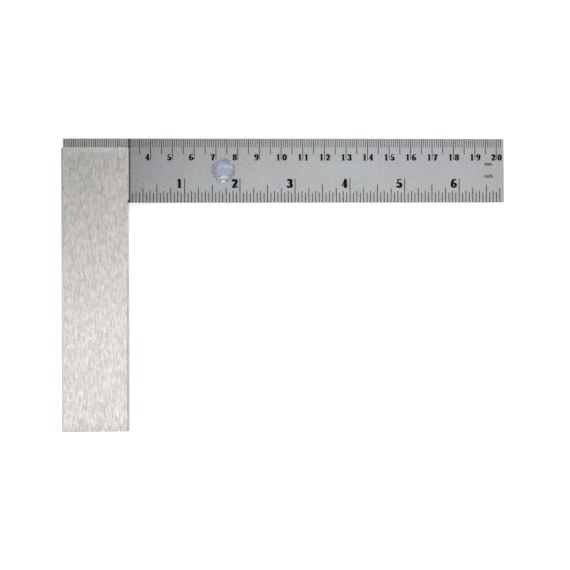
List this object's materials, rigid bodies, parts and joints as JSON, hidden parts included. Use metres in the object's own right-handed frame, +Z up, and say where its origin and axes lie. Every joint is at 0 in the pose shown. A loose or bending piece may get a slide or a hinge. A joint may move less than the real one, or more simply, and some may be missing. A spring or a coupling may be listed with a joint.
{
  "type": "steel square ruler",
  "caption": "Rigid steel square: a graduated metric and inch blade pinned at a right angle into a thick ground stock.",
  "frame": {"origin": "centre of the square's outline, on the surface that the stock lies on", "axes": "+X along the blade, away from the stock; +Y square to it, from the stock's free end towards the blade; +Z up, out of the stock's upper face"},
  "size_m": [0.2038, 0.1338, 0.012],
  "materials": {
    "stock_steel": "ground, coarse short grain along its length",
    "blade_steel": "satin stainless, fine grain along its length, black filled graduations",
    "pin_steel": "ground flush",
    "graduation_fill": "black filled etching in the blade's faces: the graduations and numerals",
    "sticker_foil": "translucent iridescent foil"
  },
  "bodies": {
    "root": {"stock": "stock_steel", "blade": "blade_steel", "blade_pin_1": "pin_steel", "blade_pin_2": "pin_steel", "blade_pin_3": "pin_steel", "foil_sticker": "sticker_foil"}
  },
  "joints": []
}
